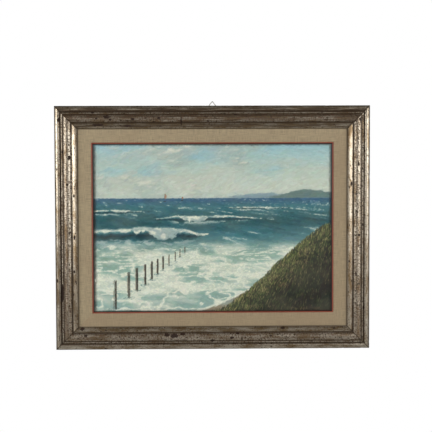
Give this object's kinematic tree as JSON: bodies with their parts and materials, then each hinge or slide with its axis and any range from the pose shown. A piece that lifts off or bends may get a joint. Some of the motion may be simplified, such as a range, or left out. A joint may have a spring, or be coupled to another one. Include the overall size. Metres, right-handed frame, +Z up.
{
  "type": "framed oil painting",
  "caption": "Seascape painted in oils on a stretched canvas, in a linen-covered slip and a wide silvered wooden moulding, with a wire ring behind its top rail to hang it by.",
  "frame": {"origin": "on the flat back of the hanger's strap, between its two screws, at the middle of the top rail", "axes": "+Z up the wall, +X to the right as the picture is looked at, +Y back towards the wall; the picture faces -Y"},
  "size_m": [0.845, 0.0389, 0.6673],
  "materials": {
    "silver_leaf": "aged silver leaf over dark red-brown bole on a wooden moulding, rubbed, speckled and chipped",
    "linen": "natural woven linen glued over a wooden slip",
    "red_fillet": "dull red-brown paint with a rubbed pale crest",
    "painted_canvas": "oil paint on primed canvas, satin varnish",
    "stretcher_wood": "bare planed softwood, darkened with age",
    "hanger_steel": "dull tarnished steel"
  },
  "bodies": {
    "root": {"frame_top": "silver_leaf", "frame_right": "silver_leaf", "frame_bottom": "silver_leaf", "frame_left": "silver_leaf", "liner_top": "linen", "liner_right": "linen", "liner_bottom": "linen", "liner_left": "linen", "fillet_top": "red_fillet", "fillet_right": "red_fillet", "fillet_bottom": "red_fillet", "fillet_left": "red_fillet", "stretcher_top": "stretcher_wood", "stretcher_right": "stretcher_wood", "stretcher_bottom": "stretcher_wood", "stretcher_left": "stretcher_wood", "canvas": "painted_canvas", "hanger_strap": "hanger_steel", "hanger_ring": "hanger_steel", "hanger_screw_1": "hanger_steel", "hanger_screw_2": "hanger_steel"}
  },
  "joints": []
}
